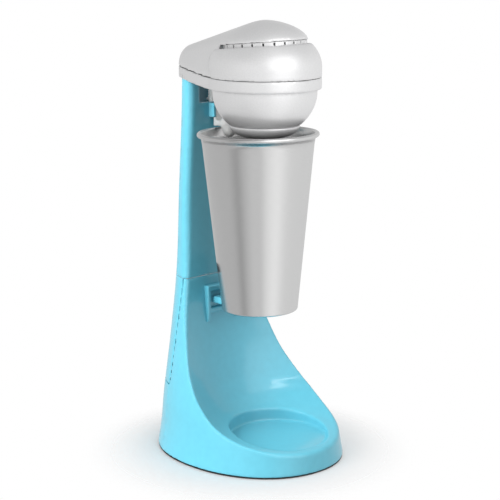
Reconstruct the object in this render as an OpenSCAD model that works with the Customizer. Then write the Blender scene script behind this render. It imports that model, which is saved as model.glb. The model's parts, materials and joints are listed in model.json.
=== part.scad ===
// Single-spindle milkshake mixer: a scooped base and column, a ball-shaped
// motor head, a cup-sensing lever and a tapered steel mixing cup.
// Millimetres. +Z up, the front faces -Y, and Z = 0 is the surface it stands on.

/* [Base] */
// Width of the base at the bottom
base_w = 146; // [130:1:160]
// Depth of the base, front to back
base_d = 176.6; // [165:0.2:190]
// Height of the seam between the base and the column
seam_z = 152; // [148:1:156]
// Roundness exponent of the plan outline (2 is an ellipse)
plan_power = 2.12; // [2:0.02:2.5]
// Wall thickness of the plastic shells
wall = 2.5; // [2:0.1:3]
// Radius of the round cup recess
recess_r = 42.5; // [40:0.5:46]
// Height of the recess floor
recess_z = 19.4; // [18:0.2:21]
// Distance of the recess centre in front of the middle
recess_fwd = 36.8; // [34:0.2:39]
// Gap left under the base by the rubber feet
foot_h = 1.5; // [1:0.1:3]

/* [Head] */
// Distance of the spindle in front of the middle
spindle_fwd = 18.7; // [16:0.1:21]
// Radius of the ball-shaped housing
ball_r = 47.7; // [45:0.1:50]
// Height of the parting line round the head
split_z = 330; // [326:0.5:334]
// Height of the band below the parting line
band_h = 10; // [8:0.5:12]
// Height of the top of the dome
top_z = 376.8; // [374:0.1:380]
// Upward tilt of the vent ring towards the front, in degrees
vent_tilt = 5.5; // [3:0.5:8]
// Number of vent slots in the full ring
vent_count = 24; // [18:1:30]

/* [Cup] */
// Height of the middle of the rolled rim
rim_z = 280.8; // [278:0.1:284]
// Radius of the middle of the rolled rim
rim_r = 50; // [48:0.1:51]
// Thickness of the rolled rim
bead = 4; // [3:0.1:5]
// Outer radius of the cup bottom
cup_bottom_r = 32.8; // [31:0.1:34]
// Height of the cup
cup_h = 152; // [148:0.5:155]
// Thickness of the cup's steel
cup_wall = 0.8; // [0.6:0.1:1]
// Distance of the rim's centre in front of the middle
cup_fwd = 10.5; // [9:0.1:11]
// Forward lean of the cup's foot, in degrees
cup_lean = 0.92; // [0:0.01:1.2]

/* [Drive] */
// Radius of the motor shaft
shaft_r = 3; // [2.5:0.1:3.5]
// Radius of the agitator rod
rod_r = 3.2; // [3:0.1:3.5]
// Radius of the motor can
motor_r = 27; // [25:0.5:28]
// Radial clearance of the running bearings
run_gap = 0.05; // [0.02:0.01:0.1]
// Radius of the agitator at the foot of the rod
agitator_r = 15; // [12:0.5:16]

/* [Hidden] */
$fn = 64;
aqua = [0.36, 0.74, 0.83];
silver = [0.80, 0.81, 0.82];
steel = [0.66, 0.67, 0.69];
white = [0.93, 0.93, 0.91];
black = [0.10, 0.10, 0.11];
copper = [0.72, 0.42, 0.22];
brass = [0.78, 0.62, 0.30];

// Smooth curve through a table of [place, value] pairs.
function cell(x, t, i = 0) = (i >= len(t) - 2 || x < t[i + 1][0]) ? i : cell(x, t, i + 1);
function rise(t, i) = (t[i + 1][1] - t[i][1]) / (t[i + 1][0] - t[i][0]);
function tangent(t, i) =
  i <= 0 ? rise(t, 0) :
  i >= len(t) - 1 ? rise(t, len(t) - 2) :
  let (h0 = t[i][0] - t[i - 1][0], h1 = t[i + 1][0] - t[i][0])
  (rise(t, i - 1) * h1 + rise(t, i) * h0) / (h0 + h1);
function curve(x, t) =
  let (i = cell(x, t), h = t[i + 1][0] - t[i][0], u = (x - t[i][0]) / h)
  (2 * u * u * u - 3 * u * u + 1) * t[i][1] + (u * u * u - 2 * u * u + u) * h * tangent(t, i)
  + (3 * u * u - 2 * u * u * u) * t[i + 1][1] + (u * u * u - u * u) * h * tangent(t, i + 1);
function signed_power(v, e) = sign(v) * pow(abs(v), e);

// Plan outline of base and column at each height.
half_width = [[1.5, base_w / 2], [22, 68.5], [42, 65.3], [97, 50.6], [152, 38.9], [230, 34],
  [300, 30.2], [326, 29.6]];
widest_y = [[1.5, 1.4], [22, 0.3], [42, 5.1], [97, 26.4], [152, 40], [230, 43], [300, 46], [326, 46.5]];
back_y = [[1.5, base_d / 2], [22, 87.5], [42, 85.8], [97, 80.3], [152, 76.3], [230, 73.9], [300, 70.5],
  [326, 69.5]];
front_y = [[1.5, -base_d / 2], [22, -85.5], [42, -84], [97, -78]];
// Height of the scoop's rim above each Y, and the scoop's middle line: [height, Y].
rim_line = [[18.4, -86.4], [24.3, -62], [33.2, -36], [48.7, -10], [70.3, 12], [99.6, 27], [127.7, 36],
  [152, 39.5], [326, 43.5]];
mid_line = [[18.4, -86.2], [21, -74], [24.5, -40], [27.6, -10], [31.5, 5], [38, 14.5], [50, 22.8],
  [75, 31], [110, 37.5], [152, 41.3], [326, 44.6]];
lip_z = rim_line[0][0];
dish_power = 2.3;

// One plan ring at height z, drawn in by "inset", with the scoop lowered by "drop".
back_steps = 34;
front_steps = 16;
function corner_angle(y, q, yc, yb, yf) =
  y < yc ? asin(-min(1, pow((yc - y) / (yc - yf), plan_power / 2)))
         : asin(pow((y - yc) / (yb - yc), plan_power / 2));
function ring(z, inset, drop) =
  let (
    zz = max(1.5, z),
    q = curve(zz, half_width) - inset, yc = curve(zz, widest_y),
    yb = curve(zz, back_y) - inset, yf = curve(min(zz, 97), front_y) + inset,
    zs = max(z + drop, lip_z), open = z + drop <= lip_z,
    yr = max(curve(zs, rim_line) + inset * 0.9, yf + 0.4),
    ym = max(curve(zs, mid_line) + inset * 0.9, yf + 0.2),
    a = corner_angle(yr, q, yc, yb, yf), hw = q * pow(cos(a), 2 / plan_power)
  )
  concat(
    [for (i = [0:back_steps]) let (t = a + (180 - 2 * a) * i / back_steps)
      [q * signed_power(cos(t), 2 / plan_power),
       yc + (sin(t) > 0 ? yb - yc : yc - yf) * signed_power(sin(t), 2 / plan_power), z]],
    [for (i = [1:front_steps - 1]) let (s = 2 * i / front_steps - 1,
        t = 180 - a + (180 + 2 * a) * i / front_steps)
      open ? [q * signed_power(cos(t), 2 / plan_power),
              yc + (yc - yf) * signed_power(sin(t), 2 / plan_power), z]
           : [s * hw, ym - (ym - yr) * pow(abs(s), dish_power), z]]
  );
module loft(heights, inset = 0, drop = 0) {
  n = back_steps + front_steps;
  rings = [for (z = heights) ring(z, inset, drop)];
  points = [for (r = rings) for (p = r) p];
  last = len(heights) - 1;
  sides = [for (k = [0:last - 1]) for (i = [0:n - 1]) let (a = k * n + i, b = k * n + (i + 1) % n)
    each [[a, a + n, b], [b, a + n, b + n]]];
  polyhedron(points, concat([[for (i = [0:n - 1]) i]], sides, [[for (i = [n - 1:-1:0]) last * n + i]]));
}
module box(lo, hi) {
  translate(lo) cube(hi - lo);
}
module tube(r_out, r_in, z0, z1) {
  difference() {
    translate([0, 0, z0]) cylinder(r = r_out, h = z1 - z0);
    translate([0, 0, z0 - 1]) cylinder(r = r_in, h = z1 - z0 + 2);
  }
}
module rod(r, z0, z1) {
  translate([0, 0, z0]) cylinder(r = r, h = z1 - z0);
}
module at_spindle() {
  translate([0, -spindle_fwd, 0]) children();
}
module around(count, r, start = 0) {
  for (i = [0:count - 1]) rotate([0, 0, start + 360 * i / count]) translate([r, 0, 0]) children();
}
// A screw pointing up (+Z) with its head's lower face at the origin.
module screw(head_r, head_h, shank_r, length) {
  difference() {
    union() {
      translate([0, 0, -head_h]) cylinder(r = head_r, h = head_h, $fn = 32);
      cylinder(r = shank_r, h = length, $fn = 32);
    }
    for (a = [0, 90]) rotate([0, 0, a]) box([-head_r * 0.6, -0.3, -head_h - 1],
      [head_r * 0.6, 0.3, -head_h * 0.5]);
  }
}

base_heights = [foot_h, 9, lip_z, 19.6, 21, 22.6, 24.4, 26.4, 28.4, 31, 35, 41, 49, 60, 75, 92, 110,
  130, seam_z - 0.2];
cavity_heights = [foot_h - 1, 8, lip_z - wall, 17.3, 18.8, 20.4, 22.4, 25, 29, 35, 44, 57, 74, 94, 116,
  136, seam_z + 1];
column_heights = [seam_z + 0.2, 178, 206, 236, 268, 300, 326];
cover_split_y = 43.5;
cover_low_z = 58;
column_split_y = 57;
joint_gap = 0.3;

// Places of the screws that hold the bottom plate.
plate_screw_at = [[48, -38], [-48, -38], [46, 48], [-46, 48]];
plate_z = foot_h + 0.2;
plate_t = 2.6;
module recess_cut() {
  translate([0, -recess_fwd, recess_z]) cylinder(r = recess_r, h = 60, $fn = 96);
}
module base_cavity() {
  difference() {
    loft(cavity_heights, wall, wall);
    translate([0, -recess_fwd, recess_z - wall]) cylinder(r = recess_r + wall, h = 40, $fn = 96);
  }
}
module rear_cover_zone(gap) {
  box([-80, cover_split_y + gap, cover_low_z + gap], [80, 120, seam_z + 2]);
}
// Straight prism with the plan outline that the loft has at height z.
module plan_prism(z, inset, z0, z1) {
  translate([0, 0, z0]) linear_extrude(height = z1 - z0) polygon([for (p = ring(z, inset, 0)) [p[0],
    p[1]]]);
}
// Inner flange on each side of the seam, where base and column are screwed together.
flange_t = 3.6;
seam_screw_at = [[20, 50.5], [-20, 50.5]];
module seam_flange(z0) {
  difference() {
    union() {
      intersection() {
        plan_prism(seam_z, wall + 0.5, z0, z0 + flange_t);
        box([-40, 30, z0 - 1], [40, column_split_y - 1, z0 + flange_t + 1]);
      }
      box([-29, 42.4, z0], [29, 47, z0 + flange_t]);
    }
    box([-12, 47, z0 - 1], [12, 80, z0 + flange_t + 1]);
    for (p = seam_screw_at) translate([p[0], p[1], z0 - 1])
      cylinder(r = z0 < seam_z ? 1.8 : 1.5, h = flange_t + 2);
  }
}
module base_shell() {
  color(aqua) union() {
    difference() {
      union() {
        difference() {
          loft(base_heights);
          base_cavity();
        }
        for (p = plate_screw_at) translate([p[0], p[1], plate_z + plate_t])
          cylinder(r = 4.2, h = p[1] > 0 ? 16 : 13.5);
        for (p = plate_screw_at) if (p[1] > 0) box([min(p[0],
          sign(p[0]) * 57), p[1] - 1, plate_z + plate_t],
                                                   [max(p[0], sign(p[0]) * 57), p[1] + 1, 18]);
      }
      recess_cut();
      rear_cover_zone(0);
      for (p = plate_screw_at) translate([p[0], p[1], plate_z]) cylinder(r = 1.5, h = 12);
      translate([0, 70, 16]) rotate([-90, 0, 0]) cylinder(r = 6.5, h = 40);
    }
    seam_flange(seam_z - 0.2 - flange_t);
  }
}
module base_rear_cover() {
  color(aqua) intersection() {
    difference() {
      loft(base_heights);
      loft(cavity_heights, wall, wall);
    }
    rear_cover_zone(joint_gap);
  }
}
module base_plate() {
  color(black) difference() {
    intersection() {
      loft([foot_h, 9], wall + 0.4);
      box([-100, -100, plate_z], [100, 100, plate_z + plate_t]);
    }
    for (p = plate_screw_at) translate([p[0], p[1], 0]) cylinder(r = 1.8, h = 10);
    for (p = plate_screw_at) translate([p[0], p[1], plate_z - 1]) cylinder(r = 3.4, h = 2.2);
    for (p = foot_at) translate([p[0], p[1], plate_z - 1]) cylinder(r = foot_r, h = 1.8);
  }
}
module base_screws() {
  color(steel) for (p = plate_screw_at) translate([p[0], p[1], plate_z + 1.2]) screw(3, 1.2, 1.5, 10);
}
foot_r = 8;
foot_at = [[38, -58], [-38, -58], [38, 57], [-38, 57]];
module rubber_feet() {
  color(black) for (p = foot_at) translate([p[0], p[1], 0]) {
    cylinder(r = foot_r, h = plate_z + 0.8);
  }
}
// Cup rest: a square frame on the front of the column, whose legs run down into
// the scoop, with a curved pad in the middle that the back of the cup leans on.
rest_half = 18;
rest_front = 35;
rest_back = 41;
rest_low = 118;
rest_high = 143;
leg_foot = 110;
bar = 5;
pad_half = 10;
pad_gap = 1.2;
module cup_rest() {
  color(aqua) difference() {
    union() {
      for (z = [rest_low, rest_high - bar]) box([-rest_half, rest_front, z],
        [rest_half, rest_back, z + bar]);
      for (s = [-1, 1]) translate([s * (rest_half - bar / 2) - bar / 2, 0, 0])
        rotate([90, 0, 90]) linear_extrude(height = bar)
        polygon([[rest_front, rest_high], [rest_back, rest_high], [rest_back, leg_foot],
          [rest_front + 0.6, leg_foot], [rest_front, rest_low]]);
      box([-rest_half, rest_front + 3.5, rest_low], [rest_half, rest_back, rest_high]);
      box([-pad_half, 18, 127], [pad_half, rest_front + 4, 133]);
    }
    translate([0, -cup_fwd, rest_low - 1])
      cylinder(r1 = cup_bottom_r + pad_gap, r2 = cup_bottom_r + pad_gap + 4.2,
        h = rest_high - rest_low + 2);
    loft(base_heights);
  }
}
module cord_inlet_bush() {
  color(black) translate([0, 0, 16]) rotate([-90, 0, 0]) difference() {
    union() {
      translate([0, 0, 83]) cylinder(r = 6.4, h = 5);
      translate([0, 0, 81]) cylinder(r = 8, h = 2.2);
    }
    translate([0, 0, 78]) cylinder(r = 3.3, h = 20);
  }
}

// Column.
cover_screw_z = [180, 296];
board_screw_z = [213, 252];
board_y = 54;
slot_half = 18;
slot_low = 304;
module lever_slot() {
  box([-slot_half, 38, slot_low], [slot_half, 50, 330]);
}
module column_tube() {
  difference() {
    loft(column_heights);
    loft([seam_z - 1, 178, 206, 236, 268, 300, 327], wall, 0);
  }
}
module column_shell() {
  color(aqua) difference() {
    union() {
      intersection() {
        column_tube();
        box([-80, 0, 100], [80, column_split_y - joint_gap / 2, 400]);
      }
      seam_flange(seam_z + 0.2);
      for (s = [-1, 1]) for (z = cover_screw_z) translate([s * 17, 44.8, z])
        rotate([-90, 0, 0]) cylinder(r = 3.2, h = 10.7);
      for (s = [-1, 1]) for (z = board_screw_z) translate([s * 12, 44.8, z])
        rotate([-90, 0, 0]) cylinder(r = 2.6, h = board_y - 44.8);
    }
    lever_slot();
    box([-guide_half - 0.1, 38, guide_low - 0.1], [guide_half + 0.1, 52, slot_low + 1]);
    for (s = [-1, 1]) for (z = cover_screw_z) translate([s * 17, 47, z]) rotate([-90, 0, 0])
      cylinder(r = 1.3, h = 20);
    for (s = [-1, 1]) for (z = board_screw_z) translate([s * 12, 46.8, z]) rotate([-90, 0, 0])
      cylinder(r = 1, h = 20);
  }
}
switch_z = 276;
switch_half_w = 8.2;
switch_half_h = 12.5;
module column_rear_cover() {
  color(aqua) difference() {
    union() {
      intersection() {
        column_tube();
        box([-80, column_split_y + joint_gap / 2, 100], [80, 120, 400]);
      }
      for (s = [-1, 1]) for (z = cover_screw_z) intersection() {
        translate([s * 17, column_split_y, z]) rotate([-90, 0, 0]) cylinder(r = 3.6, h = 20);
        loft(column_heights, 1);
      }
    }
    for (s = [-1, 1]) for (z = cover_screw_z) translate([s * 17, 50, z]) rotate([-90, 0, 0]) {
      cylinder(r = 1.7, h = 40);
      translate([0, 0, 12]) cylinder(r = 3.2, h = 40);
    }
    box([-switch_half_w, 60, switch_z - switch_half_h], [switch_half_w, 90, switch_z + switch_half_h]);
  }
}
module rear_cover_screws() {
  color(steel) for (s = [-1, 1]) for (z = cover_screw_z) translate([s * 17, 62, z])
    rotate([90, 0, 0]) screw(2.9, 1.6, 1.3, 12);
}
module column_screws() {
  color(steel) for (p = seam_screw_at) translate([p[0], p[1], seam_z - 0.2 - flange_t])
    screw(3.2, 2, 1.5, 7);
}

// Cup lever: it slides up in a guide and presses a micro switch.
guide_half = 8;
guide_low = 291;
guide_high = 303.5;
stem_half = 4.9;
nub_r = 6.3;
nub_y = 29.5;
notch_z = rim_z + bead / 2 + 0.5;
stem_top = 318.6;
arm_low = notch_z + 0.4;
arm_high = 288.6;
module lever_guide() {
  color(aqua) difference() {
    box([-guide_half, 37.5, guide_low], [guide_half, 50.5, guide_high]);
    box([-stem_half - 0.3, 38.6, guide_low + 1.5], [stem_half + 0.3, 48.8, guide_high + 1]);
    box([-stem_half - 0.3, 38.6, guide_low - 1], [stem_half + 0.3, 42.4, guide_high + 1]);
  }
}
module cup_lever() {
  color(white) union() {
    box([-stem_half, 38.9, guide_low + 1.7], [stem_half, 48.5, 302]);
    box([-stem_half, 44.5, 301], [stem_half, 48.5, stem_top]);
    box([-3, 48, 305], [3, 53.5, 307]);
    box([-stem_half, 38.9, notch_z], [stem_half, 41.9, guide_low + 3]);
    box([-stem_half, nub_y, arm_low], [stem_half, 41.9, arm_high]);
  }
}
// Round nub pushed onto the end of the lever's arm, inside the cup's rim.
module lever_nub() {
  color(white) difference() {
    hull() {
      translate([0, nub_y, 286]) sphere(r = nub_r);
      translate([0, nub_y - 3, 280]) sphere(r = nub_r - 0.8);
    }
    box([-stem_half, nub_y, arm_low], [stem_half, 50, arm_high]);
  }
}
spring_y = 51.2;
module lever_spring() {
  color(steel) for (i = [0:4]) translate([0, spring_y, 307.5 + i * 2.2]) rotate_extrude()
    translate([1.8, 0]) circle(r = 0.4, $fn = 16);
}
module micro_switch() {
  color(black) difference() {
    union() {
      box([-10, 44.5, 321], [10, 49.8, 331]);
      box([-12, 50, 317.2], [12, 56, 318.4]);
      box([-12, 50, 318.4], [12, 51.2, 330]);
      for (x = [-8, 0, 8]) box([x - 1.6, 45.8, 331], [x + 1.6, 46.6, 336]);
    }
    translate([0, 46.5, 320]) cylinder(r = 1.7, h = 4);
  }
}
module switch_plunger() {
  color(white) translate([0, 46.5, stem_top]) cylinder(r = 1.4, h = 3.2);
}

// Head.
neck_rise = 0.09;
neck_start = 6;
bowl_z = 318;
bowl_h = 38.5;
bowl_foot = 289.7;
bowl_r = ball_r - 3.7;
crown_z = 338;
crown_h = 34;
vent_z = 358.3;
dome_r = 36;
dome_h = top_z - vent_z;
rim_drop = 2.8;
function bowl_at(z) = bowl_r * sqrt(max(0, 1 - pow((z - bowl_z) / bowl_h, 2)));
function crown_at(z) = ball_r * sqrt(max(0, 1 - pow(max(0, z - crown_z) / crown_h, 2)));
function dome_at(u) = dome_r * pow(max(0, 1 - pow(u, 1.7)), 0.62);
module vent_frame() {
  translate([0, -spindle_fwd, vent_z]) rotate([-vent_tilt, 0, 0]) children();
}
// Half plan of the neck, mirrored, drawn in by "inset".
module neck_plan(inset) {
  half = [[36.7, -2], [36.5, 12], [34.5, 30], [30.5, 50], [25, 64], [15, 72], [0, 74.5]];
  polygon(concat(
    [for (p = half) [p[0] - min(inset, p[0]), p[1] - (p[1] > 60 ? inset : 0)]],
    [for (i = [len(half) - 2:-1:0]) [inset - half[i][0], half[i][1] - (half[i][1] > 60 ? inset : 0)]]
  ));
}
// Slab between two heights that slopes up along the neck.
module sloping_slab(z0, z1) {
  far = 120;
  lift = neck_rise * (far - neck_start);
  rotate([90, 0, 90]) translate([0, 0, -80]) linear_extrude(height = 160)
    polygon([[-100, z0], [neck_start, z0], [far, z0 + lift], [far, z1 + lift], [neck_start, z1],
      [-100, z1]]);
}
module dome_solid(inset, steps = 10) {
  vent_frame() rotate_extrude($fn = 48) polygon(concat(
    [[0, -9], [dome_r - inset, -9]],
    [for (i = [0:steps]) [max(0, dome_at(i / steps) - inset), (dome_h - inset) * i / steps]]
  ));
}
module neck_solid(inset) {
  hull() {
    dome_solid(inset);
    for (s = [-1, 1]) translate([s * 10, 56.6, 338]) sphere(r = 16 - inset, $fn = 32);
    intersection() {
      translate([0, 0, 320]) linear_extrude(height = 40) neck_plan(inset);
      sloping_slab(split_z + 0.2, split_z + 2);
    }
  }
}
module bowl_solid(inset, low) {
  steps = 12;
  at_spindle() rotate_extrude() polygon(concat(
    [[0, low]],
    [for (i = [0:steps]) let (z = low + (bowl_z - low) * i / steps) [bowl_at(z) - inset, z]],
    [[bowl_r - inset, split_z - band_h + 1], [0, split_z - band_h + 1]]
  ));
}
module band_solid(inset, z0, z1) {
  intersection() {
    translate([0, 0, 300]) linear_extrude(height = 60) union() {
      translate([0, -spindle_fwd]) circle(r = ball_r - inset, $fn = 96);
      neck_plan(inset);
    }
    sloping_slab(z0, z1);
  }
}
mount_r = 35.5;
mount_start = 30;
collar_screw_r = 22;
housing_screw_at = [[24, 24], [-24, 24]];
module lower_housing() {
  color(silver) difference() {
    union() {
      difference() {
        union() {
          bowl_solid(0, bowl_foot);
          band_solid(0, split_z - band_h, split_z - 0.2);
        }
        bowl_solid(wall, bowl_foot + wall);
        at_spindle() rod(bowl_r - wall, bowl_z, split_z + 5);
        band_solid(wall, split_z - band_h + wall, split_z + 5);
      }
      intersection() {
        at_spindle() around(3, mount_r, mount_start) rod(4.2, 298, 311);
        bowl_solid(0.6, bowl_foot + 0.4);
      }
      for (p = housing_screw_at) translate([p[0], p[1], 0]) rod(3.6, split_z - band_h + 2, split_z + 1);
    }
    at_spindle() rod(11, 280, 300);
    at_spindle() around(3, collar_screw_r, 90) rod(1.6, 280, 300);
    at_spindle() around(3, mount_r, mount_start) rod(1.5, 303, 320);
    for (p = housing_screw_at) translate([p[0], p[1], 0]) rod(1.7, 300, 340);
    plan_prism(322, -0.4, 318, 328);
  }
}
module crown_solid(inset, low) {
  steps = 12;
  at_spindle() rotate_extrude($fn = 96) polygon(concat(
    [[0, low], [ball_r - inset, low]],
    [for (i = [0:steps]) let (z = crown_z + (364 - crown_z) * i / steps) [crown_at(z) - inset, z]],
    [[0, 364]]
  ));
}
module upper_housing() {
  color(silver) difference() {
    crown_solid(0, split_z + 0.2);
    crown_solid(2, split_z - 1);
    vent_frame() translate([0, 0, -rim_drop]) cylinder(r = 60, h = 40);
    neck_solid(-joint_gap);
    sloping_slab(300, split_z + 0.2);
  }
}
module vent_ring() {
  color(silver) intersection() {
    vent_frame() difference() {
      union() {
        tube(dome_r - 0.8, dome_r - 2.6, -5.5, 0);
        tube(dome_r + 0.2, dome_r - 2.6, -6.5, -4.6);
      }
      around(vent_count, dome_r - 1.7) box([-3, -0.55, -3.4], [3, 0.55, -0.7]);
    }
    box([-60, -80, 330], [60, 0, 370]);
  }
}
module top_cover() {
  color(silver) difference() {
    union() {
      difference() {
        neck_solid(0);
        neck_solid(wall);
        intersection() {
          box([-60, -80, 300], [60, 0.3, 400]);
          vent_frame() translate([0, 0, -60]) cylinder(r = 80, h = 60);
        }
        sloping_slab(300, split_z + 0.2);
        translate([0, 0, 320]) linear_extrude(height = 14) neck_plan(wall);
      }
      for (p = housing_screw_at) translate([p[0], p[1], 0]) rod(3.6, split_z + 2.2, 351);
    }
    for (p = housing_screw_at) translate([p[0], p[1], 0]) rod(1.4, 320, 346);
  }
}
module housing_screws() {
  color(steel) for (p = housing_screw_at) translate([p[0], p[1], split_z - band_h]) screw(3, 1.8, 1.4, 22);
}
collar_low = 279;
module collar_solid(inset) {
  steps = 10;
  deep = bowl_foot - 0.7 - collar_low - inset;
  rotate_extrude() polygon(concat(
    [[0, bowl_foot], [29.6 - inset, bowl_foot]],
    [for (i = [0:steps]) let (a = 90 * i / steps)
      [10 + (19.6 - inset) * cos(a), bowl_foot - 0.7 - deep * sin(a)]],
    [[0, collar_low + inset]]
  ));
}
module spindle_collar() {
  color(silver) at_spindle() difference() {
    union() {
      difference() {
        collar_solid(0);
        difference() {
          collar_solid(2.2);
          rod(8.5, 270, 284);
          around(3, collar_screw_r, 90) rod(3.4, 270, 300);
        }
        rod(8.5, 284, 300);
      }
    }
    rod(6, 279.4, 300);
    rod(5.5, 270, 290);
    around(3, collar_screw_r, 90) rod(1.3, 283.5, 300);
  }
}
module collar_screws() {
  color(steel) at_spindle() around(3, collar_screw_r, 90) translate([0, 0, bowl_foot + wall])
    rotate([180, 0, 0]) screw(2.6, 1.4, 1.3, 8.2);
}
module spindle_bush() {
  color(brass) at_spindle() tube(6, rod_r + run_gap, 279.4, 284);
}
module spindle_seal() {
  color(black) at_spindle() tube(5.5, rod_r + 0.1, 277.8, 279.3);
}

// Motor.
can_low = 300;
can_high = 343;
can_wall = 2;
bearing_r = 6;
boss_r = 8.5;
module motor_can() {
  color(steel) at_spindle() difference() {
    union() {
      rod(motor_r, can_low, can_high);
      rod(boss_r, can_low - 4.6, can_low + 1);
    }
    rod(motor_r - can_wall, can_low + can_wall, can_high + 1);
    rod(bearing_r, can_low - 6, can_low + 5);
  }
}
module lower_bearing() {
  color(brass) at_spindle() tube(bearing_r, shaft_r + run_gap, can_low - 4.4, can_low + 1.8);
}
module motor_end_cap() {
  color(black) at_spindle() difference() {
    union() {
      rod(motor_r, can_high, can_high + 3);
      rod(boss_r, can_high + 2, can_high + 8.8);
    }
    rod(4.2, can_high - 1, can_high + 20);
    rod(bearing_r, can_high + 3.2, can_high + 20);
  }
}
module upper_bearing() {
  color(brass) at_spindle() tube(bearing_r, shaft_r + run_gap, can_high + 3.2, can_high + 8.6);
}
module motor_magnets() {
  color([0.25, 0.25, 0.26]) at_spindle() difference() {
    tube(motor_r - can_wall, 19.7, can_low + 4, can_low + 31);
    for (a = [0, 90]) rotate([0, 0, a]) box([-40, -5, can_low], [40, 5, can_low + 40]);
  }
}
core_low = can_low + 6;
core_high = can_low + 29;
module armature() {
  color(steel) at_spindle() difference() {
    rod(19, core_low, core_high);
    rod(shaft_r, core_low - 1, core_high + 1);
    around(7, 0) {
      box([9, -1, core_low - 1], [21, 1, core_high + 1]);
      translate([12.5, 0, core_low - 1]) cylinder(r = 2.6, h = 40, $fn = 32);
    }
  }
}
module armature_windings() {
  color(copper) at_spindle() {
    tube(17, 5, core_low - 2.8, core_low);
    tube(17, 5, core_high, core_high + 4.2);
  }
}
module commutator() {
  color(copper) at_spindle() difference() {
    rod(6.5, core_high + 5, core_high + 12);
    rod(shaft_r, core_high, core_high + 20);
    around(10, 6.3) box([-0.6, -0.2, core_high], [2, 0.2, core_high + 20]);
  }
}
brush_z = core_high + 9.3;
module brush_holders() {
  color(brass) at_spindle() around(2, 0) difference() {
    box([8.2, -3.4, brush_z - 3.4], [20, 3.4, can_high]);
    box([7, -2.1, brush_z - 2.6], [19, 2.1, brush_z + 2.6]);
  }
}
module carbon_brushes() {
  color(black) at_spindle() around(2, 0) difference() {
    box([5, -2, brush_z - 2.5], [12.5, 2, brush_z + 2.5]);
    rod(6.6, 300, 360);
  }
}
module brush_springs() {
  color(steel) at_spindle() around(2, 0) for (i = [0:3]) translate([13.1 + i * 1.5, 0, brush_z])
    rotate([0, 90, 0])
    rotate_extrude() translate([1.4, 0]) circle(r = 0.35, $fn = 16);
}
mount_z = 314;
module motor_mount() {
  color(steel) at_spindle() difference() {
    union() {
      rod(39.4, mount_z, mount_z + 2);
      rod(30, mount_z, mount_z + 8);
    }
    rod(motor_r, mount_z - 1, mount_z + 20);
    around(3, mount_r, mount_start) rod(1.8, mount_z - 1, mount_z + 10);
    around(3, 34, mount_start + 60) rod(4, mount_z - 1, mount_z + 10);
  }
}
module motor_grommets() {
  color(black) at_spindle() around(3, mount_r, mount_start) {
    tube(3.8, 1.6, mount_z - 3, mount_z);
    tube(3.2, 1.6, mount_z + 2, mount_z + 3.5);
  }
}
module motor_screws() {
  color(steel) at_spindle() around(3, mount_r, mount_start) translate([0, 0, mount_z + 3.5])
    rotate([180, 0, 0]) screw(2.8, 1.8, 1.5, 14);
}
module motor_shaft() {
  color(steel) at_spindle() rod(shaft_r, 289, 361);
}
module cooling_fan() {
  color(black) at_spindle() difference() {
    union() {
      rod(6.5, 353, 360);
      rod(27, 353, 353.9);
      around(8, 0) box([6, -0.6, 353.5], [27, 0.6, 359]);
    }
    rod(shaft_r, 350, 365);
  }
}
module shaft_coupling() {
  color(steel) at_spindle() difference() {
    rod(5.2, 284.4, 294.6);
    rod(shaft_r, 288.9, 300);
    rod(rod_r, 280, 288.9);
  }
}
module agitator_rod() {
  color(steel) at_spindle() rod(rod_r, 146, 288.9);
}
module agitator_disc() {
  color(steel) at_spindle() difference() {
    union() {
      rod(5, 146, 152);
      rod(agitator_r, 148, 149.4);
      around(6, agitator_r - 3.4, 30) translate([0, 0, 148.7]) sphere(r = 2.4, $fn = 24);
    }
    rod(rod_r, 140, 160);
    around(6, agitator_r) rod(2.6, 140, 160);
  }
}
module aerator_disc() {
  color(steel) at_spindle() difference() {
    union() {
      rod(4.6, 186, 192);
      rod(12, 188, 189.2);
    }
    rod(rod_r, 180, 200);
    around(4, 8.4) rod(2, 180, 200);
  }
}

// Electrics.
module circuit_board() {
  color([0.12, 0.36, 0.20]) difference() {
    box([-16, board_y, board_screw_z[0] - 4], [16, board_y + 1.6, board_screw_z[1] + 4]);
    for (s = [-1, 1]) for (z = board_screw_z) translate([s * 12, 50, z]) rotate([-90, 0, 0])
      cylinder(r = 1.2, h = 10);
  }
}
module board_parts() {
  color(black) {
    box([-6, board_y - 4, 218], [6, board_y, 230]);
    for (x = [-6, 5]) translate([x, board_y, 240]) rotate([90, 0, 0]) cylinder(r = 4, h = 6);
    box([7, board_y - 4, 220], [11, board_y, 232]);
    translate([0, board_y + 1.6, 236]) rotate([-90, 0, 0]) cylinder(r = 6, h = 5);
  }
}
module board_screws() {
  color(steel) for (s = [-1, 1]) for (z = board_screw_z) translate([s * 12, board_y + 1.6, z])
    rotate([90, 0, 0]) screw(2, 1.2, 1, 7);
}
rocker_y = 68.5;
rocker_half = 8.8;
module speed_switch() {
  color(black) difference() {
    union() {
      box([-switch_half_w + 0.2, 58, switch_z - switch_half_h + 0.2],
        [switch_half_w - 0.2, 71, switch_z + switch_half_h - 0.2]);
      box([-switch_half_w - 1, 72.4, switch_z - switch_half_h - 1],
        [switch_half_w + 1, 73.2, switch_z + switch_half_h + 1]);
      box([-switch_half_w + 0.2, 70, switch_z - switch_half_h + 0.2],
        [switch_half_w - 0.2, 73.2, switch_z + switch_half_h - 0.2]);
    }
    box([-6.4, 64.5, switch_z - rocker_half - 1.2], [6.4, 80, switch_z + rocker_half + 1.2]);
  }
}
module speed_rocker() {
  color(white) translate([0, rocker_y, switch_z]) difference() {
    union() {
      rotate([0, 90, 0]) translate([0, 0, -6]) cylinder(r = 3, h = 12);
      box([-6, 0, -rocker_half], [6, 6.2, rocker_half]);
    }
    for (s = [-1, 1]) translate([-7, 33.5, s * 12.5]) rotate([0, 90, 0]) cylinder(r = 29, h = 14, $fn = 96);
  }
}
wire_r = 1.3;
wire_x = 4;
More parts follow.
